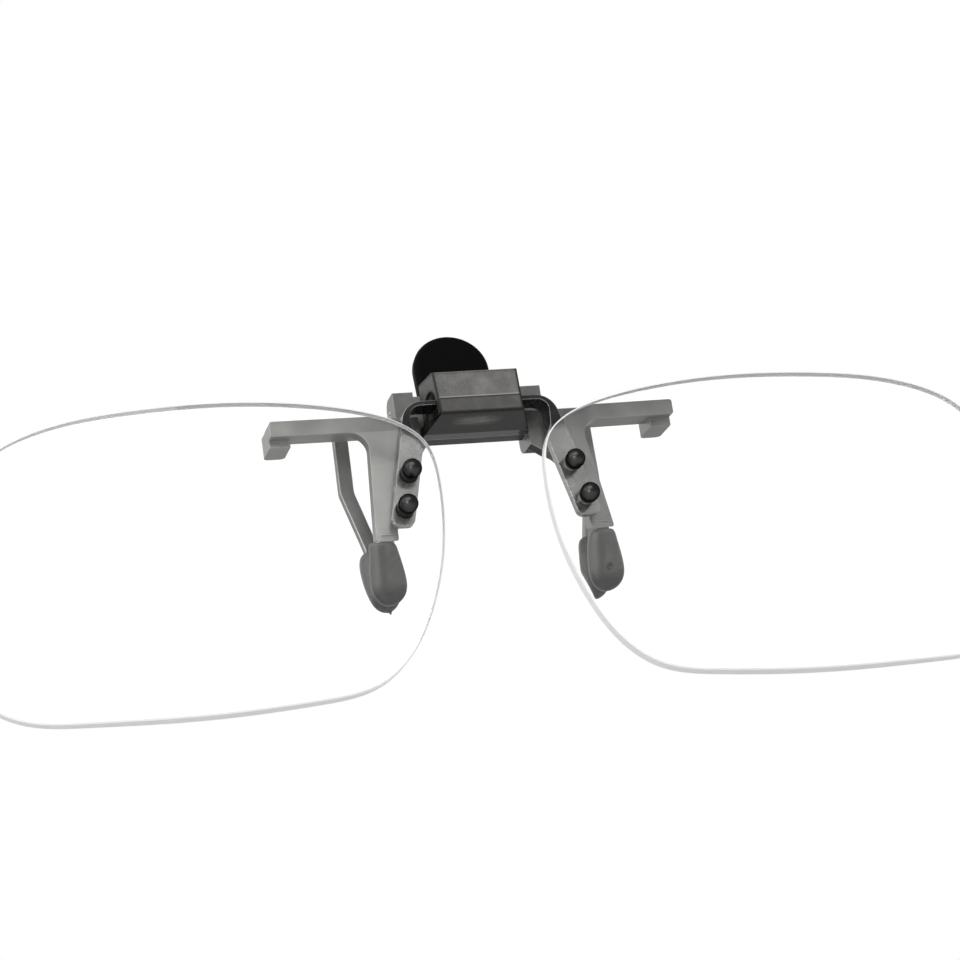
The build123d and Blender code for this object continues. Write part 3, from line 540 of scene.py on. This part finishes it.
mirror_side = add(tree, "ShaderNodeMath", [spot.outputs["X"]], operation="SIGN")
tip_x = add(tree, "ShaderNodeMath", [mirror_side, front_tip_middle.x * mm], operation="MULTIPLY")
along_tip = add(tree, "ShaderNodeMath", [spot.outputs["X"], tip_x], operation="SUBTRACT")
# A painted highlight band on each tip's left flank and a painted shade band beside it
for band_x, faint, full, most, band_colour in (painted_highlight_band, painted_shade_band):
    off_band = add(tree, "ShaderNodeMath", [along_tip, band_x], operation="SUBTRACT")
    off_band = add(tree, "ShaderNodeMath", [off_band], operation="ABSOLUTE")
    strength = add(tree, "ShaderNodeMapRange", [off_band, faint, full, 0.0, most])
    colour = add(tree, "ShaderNodeMix", [strength, colour, band_colour], data_type="RGBA")
flank = add(tree, "ShaderNodeMapRange", [spot.outputs["Z"], *toe_fade])
colour = add(tree, "ShaderNodeMix", [flank, "1E1E1E", colour], data_type="RGBA")
# Painted shade darkens the dimple
off_dimple = add(tree, "ShaderNodeVectorMath", [
    place.outputs["Object"], dimple_place], operation="DISTANCE")
painted_shade = add(tree, "ShaderNodeMapRange", [off_dimple, *dimple_painted_shade])
colour = add(tree, "ShaderNodeMix", [painted_shade, colour, "161616"], data_type="RGBA")
skin = add(tree, "ShaderNodeBump", {"Height": haze, "Strength": 0.15, "Distance": haze_depth})
fill(shader, {"Base Color": colour, "Normal": skin, "Roughness": 0.36})

# Sections of a tip, in mm: height, inner and outer edge, front and rear face. Both front tips are
# one moulding, so the left one isn't a mirror image. The left rear toe ends in the nib that the
# mould's gate left, and the right one is cut to a point.
front_top_sections = {
    "left": [
        (3.52, -1.60, 0.75, -0.80, 0.80), (3.40, -1.88, 1.10, -1.05, 1.05),
        (2.95, -2.00, 1.38, -1.18, 1.18)],
    "right": [
        (3.42, -1.05, 0.85, -0.80, 0.80), (3.30, -1.45, 1.15, -1.05, 1.05),
        (2.95, -1.72, 1.38, -1.18, 1.18)]}
front_sections = [
    (2.20, -1.92, 1.55, -1.2, 1.2), (1.30, -2.03, 1.80, -1.2, 1.2), (0.30, -2.07, 2.03, -1.2, 1.2),
    (-0.60, -2.07, 2.20, -1.2, 1.2), (-1.30, -2.02, 2.25, -1.2, 1.2), (-1.95, -1.90, 2.15, -1.2, 1.2),
    (-2.55, -1.65, 1.88, -1.15, 1.15), (-3.05, -1.25, 1.40, -1.05, 1.05), (-3.40, -0.80, 0.85, -0.8, 0.85),
    (-3.56, -0.30, 0.30, -0.35, 0.4)]
rear_top_sections = [
    (3.52, -0.90, 0.90, -0.80, 0.80), (3.40, -1.25, 1.30, -1.05, 1.05), (2.90, -1.58, 1.70, -1.18, 1.18),
    (1.80, -1.60, 1.98, -1.2, 1.2), (0.50, -1.60, 2.08, -1.2, 1.2)]
rear_toe_sections = {
    "right": [
        (-0.50, -1.58, 2.08, -1.2, 1.2), (-0.85, -1.46, 2.06, -1.2, 1.2), (-1.50, -1.08, 1.98, -1.15, 1.2),
        (-2.30, -0.62, 1.82, -1.0, 1.2), (-2.90, -0.25, 1.52, -0.7, 1.2), (-3.35, 0.05, 1.08, -0.2, 1.15),
        (-3.56, 0.22, 0.66, 0.3, 1.0)],
    "left": [
        (-0.60, -1.75, 2.08, -1.2, 1.2), (-1.50, -1.75, 2.00, -1.2, 1.2), (-2.30, -1.65, 1.86, -1.15, 1.2),
        (-2.90, -1.40, 1.60, -1.0, 1.2), (-3.30, -1.05, 1.20, -0.7, 1.15), (-3.52, -0.60, 0.70, -0.2, 1.0),
        (-3.60, -0.30, 0.22, 0.2, 0.8), (-3.78, -0.16, 0.08, 0.4, 0.65), (-4.02, -0.10, 0.02, 0.45, 0.58)]}
rear_tip_splay, rear_tip_lean = 7.8, -9.3
rear_tip_turn = (Matrix.Rotation(radians(rear_tip_splay), 4, "Y")
                 @ Matrix.Rotation(radians(rear_tip_lean), 4, "X"))
rear_tip_middle = Vector((12.7, 2.649, 0.65))
left_front_tip_middle = Vector((-12.8, -1.365, 0.172))
ring_points = 28
roundness = 2.1
rear_narrowing = 0.30
full_width_share = 0.36
smoothing_levels = 2


def power(value, exponent):
    # A power that keeps the sign
    return abs(value) ** exponent * (1 if value >= 0 else -1)


def tip_ring(height, inner, outer, front, rear, narrows_outside):
    # One section: a squarish oval that narrows towards the rear, and has its given width at
    # full_width_share of its depth
    ring = []
    for i in range(ring_points):
        turn = 2 * pi * i / ring_points
        across, along = power(cos(turn), 2 / roundness), power(sin(turn), 2 / roundness)
        width = 1.0
        if across < 0 or narrows_outside:
            width = (1 - rear_narrowing * (along + 1) / 2) / (1 - rear_narrowing * full_width_share)
        ring.append(Vector(((inner + outer) / 2 + (outer - inner) / 2 * across * width,
                            (front + rear) / 2 + (rear - front) / 2 * along, height)))
    return ring


def make_tip(node, body, sections, turn, middle, mirrored=False, dimpled=False):
    # Lofts the sections, rounds them by subdivision and sets the tip in its place
    points = [p for section in sections for p in tip_ring(*section, body == "clip_front")]
    faces = [(r * ring_points + i, r * ring_points + (i + 1) % ring_points,
              (r + 1) * ring_points + (i + 1) % ring_points, (r + 1) * ring_points + i)
             for r in range(len(sections) - 1) for i in range(ring_points)]
    faces += [tuple(range(ring_points))[::-1], tuple(range(len(points) - ring_points, len(points)))]
    rough = new_piece(node + "_rough", points, faces, silicone)
    smoother = rough.modifiers.new("smoother", "SUBSURF")
    smoother.levels = smoothing_levels
    mesh = bpy.data.meshes.new_from_object(rough.evaluated_get(bpy.context.evaluated_depsgraph_get()))
    bpy.data.objects.remove(rough)
    for vertex in mesh.vertices:
        if dimpled and vertex.co.y < 0:
            aside, above = vertex.co.x - dimple_spot[0], vertex.co.z - dimple_spot[1]
            off = min(1, sqrt(aside ** 2 + above ** 2) / dimple_radius)
            vertex.co.y += dimple_depth * (1 - off ** 2) ** 2
        local = turn @ vertex.co + middle
        vertex.co = Vector((-local.x if mirrored else local.x, local.y, local.z)) * mm
    if mirrored:
        mesh.flip_normals()
    mesh.name = node + "_sleeve"
    sleeve = show(node + "_sleeve", mesh)
    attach(sleeve, body)
    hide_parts(node)


make_tip("front_tip_left", "clip_front", front_top_sections["left"] + front_sections,
         front_tip_turn, left_front_tip_middle)
make_tip("front_tip_right", "clip_front", front_top_sections["right"] + front_sections,
         front_tip_turn, front_tip_middle, dimpled=True)
make_tip("rear_tip_left", "clip_rear", rear_top_sections + rear_toe_sections["left"],
         rear_tip_turn, rear_tip_middle, mirrored=True)
make_tip("rear_tip_right", "clip_rear", rear_top_sections + rear_toe_sections["right"],
         rear_tip_turn, rear_tip_middle)

# Gaskets behind the left lens: thin black discs that keep it off its bracket. The photograph shows
# their crisp edges below the ball heads, and none behind the right lens.
gasket_points = 48
gasket_radius = 1.1 * mm
gasket_hole = 0.5 * mm
gasket_depths = (0.005 * mm, 0.045 * mm)
lens_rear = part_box("lens_left")[1][1]
gasket_front, gasket_rear = (lens_rear + depth for depth in gasket_depths)
for height in ("upper", "lower"):
    low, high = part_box("stud_" + height + "_left")
    middle = ((low[0] + high[0]) / 2, (low[2] + high[2]) / 2)
    rims = [(gasket_hole, gasket_front), (gasket_radius, gasket_front),
            (gasket_radius, gasket_rear), (gasket_hole, gasket_rear)]
    points = [(middle[0] + radius * cos(2 * pi * i / gasket_points), y,
               middle[1] + radius * sin(2 * pi * i / gasket_points))
              for radius, y in rims for i in range(gasket_points)]
    faces = [(r * gasket_points + i, r * gasket_points + (i + 1) % gasket_points,
              (r + 1) % len(rims) * gasket_points + (i + 1) % gasket_points,
              (r + 1) % len(rims) * gasket_points + i)
             for r in range(len(rims)) for i in range(gasket_points)]
    gasket = new_piece("gasket_" + height + "_left", points, faces, nylon, smooth=False)
    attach(gasket, "lenses")

# Small marks of how the hardware is made, all repeats of one tooth: the pressed star on each
# push-on cap's back, and the rosette that rolling leaves on both ends of the jaw pin. A tooth is a
# square block that tapers a little, one unit wide at its foot until it is scaled.
tooth_sides = 4
tooth_foot = 0.7071
tooth_top = 0.45
star = bpy.data.node_groups.new("ring_of_teeth", "GeometryNodeTree")
star_inputs = {
    "Teeth": "NodeSocketInt", "Radius": "NodeSocketFloat", "Tooth Width": "NodeSocketFloat",
    "Tooth Length": "NodeSocketFloat", "Tooth Height": "NodeSocketFloat", "Place": "NodeSocketVector",
    "Turn": "NodeSocketVector", "Material": "NodeSocketMaterial"}
star_sockets = {name: star.interface.new_socket(name, in_out="INPUT", socket_type=kind).identifier
                for name, kind in star_inputs.items()}
star.interface.new_socket("Geometry", in_out="OUTPUT", socket_type="NodeSocketGeometry")
given = add(star, "NodeGroupInput").outputs
ring = add(star, "GeometryNodeMeshCircle", {"Vertices": given["Teeth"], "Radius": given["Radius"]})
tooth = add(star, "GeometryNodeMeshCone", {
    "Vertices": tooth_sides, "Radius Top": tooth_top, "Radius Bottom": tooth_foot, "Depth": 1.0})
squared = add(star, "GeometryNodeTransform", {"Geometry": tooth, "Rotation": (0, 0, pi / 4)})
size = add(star, "ShaderNodeCombineXYZ", [
    given["Tooth Length"], given["Tooth Width"], given["Tooth Height"]])
sized = add(star, "GeometryNodeTransform", {"Geometry": squared, "Scale": size})
number = add(star, "GeometryNodeInputIndex")
step = add(star, "ShaderNodeMath", [2 * pi, given["Teeth"]], operation="DIVIDE")
heading = add(star, "ShaderNodeMath", [number, step], operation="MULTIPLY")
spin = add(star, "ShaderNodeCombineXYZ", {"Z": heading})
rotation = add(star, "FunctionNodeEulerToRotation", [spin])
teeth = add(star, "GeometryNodeInstanceOnPoints", {"Points": ring, "Instance": sized, "Rotation": rotation})
whole = add(star, "GeometryNodeRealizeInstances", {"Geometry": teeth})
placed = add(star, "GeometryNodeTransform", {
    "Geometry": whole, "Translation": given["Place"], "Rotation": given["Turn"]})
dressed = add(star, "GeometryNodeSetMaterial", {"Geometry": placed, "Material": given["Material"]})
add(star, "NodeGroupOutput", {"Geometry": dressed})


def make_star(name, body, slot, **values):
    bare = new_piece(name + "_bare", [(0, 0, 0)], [], values["Material"])
    maker = bare.modifiers.new("star", "NODES")
    maker.node_group = star
    for label, value in values.items():
        maker[star_sockets[label.replace("_", " ")]] = value
    mesh = bpy.data.meshes.new_from_object(bare.evaluated_get(bpy.context.evaluated_depsgraph_get()))
    bpy.data.objects.remove(bare)
    mesh.name = name
    made = show(name, mesh)
    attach(made, body)


for side in ("left", "right"):
    for height in ("upper", "lower"):
        low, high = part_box("retainer_" + height + "_" + side)
        make_star("cap_star_" + height + "_" + side, "lenses", "black_nylon", Teeth=8, Radius=0.42 * mm,
                  Tooth_Width=0.12 * mm, Tooth_Length=0.34 * mm, Tooth_Height=0.14 * mm,
                  Place=((low[0] + high[0]) / 2, high[1], (low[2] + high[2]) / 2), Turn=(-pi / 2, 0, 0),
                  Material=nylon)
low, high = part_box("jaw_pin")
for side, end_x, turn in (("left", low[0], -pi / 2), ("right", high[0], pi / 2)):
    make_star("pin_rosette_" + side, "clip_front", "steel", Teeth=12, Radius=0.34 * mm,
              Tooth_Width=0.07 * mm, Tooth_Length=0.26 * mm, Tooth_Height=0.06 * mm,
              Place=(end_x, (low[1] + high[1]) / 2, (low[2] + high[2]) / 2), Turn=(0, turn, 0),
              Material=steel)
